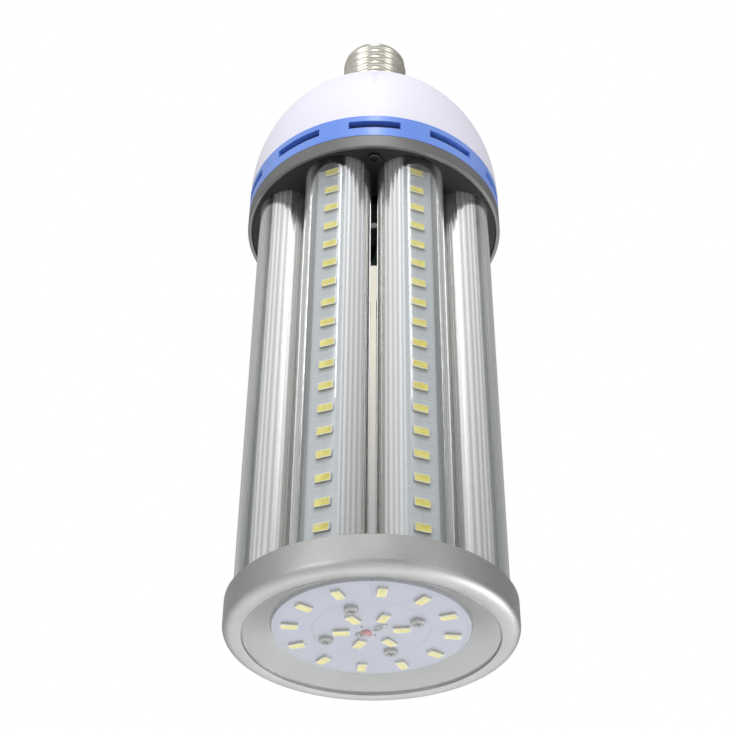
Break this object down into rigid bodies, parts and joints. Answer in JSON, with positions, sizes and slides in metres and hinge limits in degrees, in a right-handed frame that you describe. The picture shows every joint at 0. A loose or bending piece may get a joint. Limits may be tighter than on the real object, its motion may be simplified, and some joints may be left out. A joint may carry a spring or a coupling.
{
  "type": "led light bulb",
  "caption": "LED lamp with a ring of round LED bars under clear covers, a lit foot, a vented fan ring, a domed driver housing and a screw cap.",
  "frame": {"origin": "centre of the plane of the foot's rim, on the lamp's axis", "axes": "+Z along the lamp towards the screw cap, -Y towards the camera, a gap between two bars at -Y"},
  "size_m": [0.0966, 0.0966, 0.2746],
  "materials": {
    "satin_aluminium": "fine sprayed satin aluminium",
    "bar_aluminium": "plain extruded aluminium",
    "clear_plastic": "clear polycarbonate",
    "board_white": "aluminium board with a pale bluish solder mask",
    "led_package": "white package with a yellow phosphor window",
    "screw_steel": "plated steel",
    "dark_steel": "blackened steel",
    "lead_insulation": "red silicone insulation",
    "black_plastic": "black moulded plastic",
    "blue_plastic": "blue moulded plastic",
    "copper_winding": "enamelled copper wire",
    "white_plastic": "white moulded plastic",
    "driver_board_green": "green circuit board",
    "capacitor_sleeve": "sleeved aluminium can",
    "ferrite": "ferrite core with taped windings",
    "nickel": "nickel-plated brass",
    "black_insulator": "black insulator",
    "tin": "tinned contact"
  },
  "bodies": {
    "lamp": {"cap_contact": "tin", "cap_insulator": "black_insulator", "cap_lead": "lead_insulation", "cap_shell": "nickel", "collar_ring": "satin_aluminium", "collar_screws": "dark_steel", "driver_board": "driver_board_green", "driver_board_screws": "screw_steel", "driver_capacitors": "capacitor_sleeve", "driver_choke": "copper_winding", "driver_housing": "white_plastic", "driver_transformer": "ferrite", "end_board": "board_white", "end_board_leads": "lead_insulation", "end_board_screws": "screw_steel", "end_cap": "satin_aluminium", "end_leds": "led_package", "end_lens": "clear_plastic", "fan_frame": "black_plastic", "fan_screws": "screw_steel", "fan_stator": "copper_winding", "foot_screws": "screw_steel", "head_plate": "black_plastic", "head_screws": "screw_steel", "heat_sink_bar_1": "bar_aluminium", "heat_sink_bar_2": "bar_aluminium", "heat_sink_bar_3": "bar_aluminium", "heat_sink_bar_4": "bar_aluminium", "heat_sink_bar_5": "bar_aluminium", "heat_sink_bar_6": "bar_aluminium", "heat_sink_bar_7": "bar_aluminium", "heat_sink_bar_8": "bar_aluminium", "led_strip_1": "board_white", "led_strip_2": "board_white", "led_strip_3": "board_white", "led_strip_4": "board_white", "led_strip_5": "board_white", "led_strip_6": "board_white", "led_strip_7": "board_white", "led_strip_8": "board_white", "strip_cover_1": "clear_plastic", "strip_cover_2": "clear_plastic", "strip_cover_3": "clear_plastic", "strip_cover_4": "clear_plastic", "strip_cover_5": "clear_plastic", "strip_cover_6": "clear_plastic", "strip_cover_7": "clear_plastic", "strip_cover_8": "clear_plastic", "strip_leds_1": "led_package", "strip_leds_2": "led_package", "strip_leds_3": "led_package", "strip_leds_4": "led_package", "strip_leds_5": "led_package", "strip_leds_6": "led_package", "strip_leds_7": "led_package", "strip_leds_8": "led_package", "vent_ring": "blue_plastic"},
    "fan": {"fan_rotor": "black_plastic", "fan_shaft": "screw_steel"}
  },
  "joints": [
    {"name": "fan_spin", "type": "hinge", "parent": "lamp", "child": "fan", "pos_m": [0, 0, 0.1786], "axis": [0, 0, 1], "continuous": true}
  ]
}
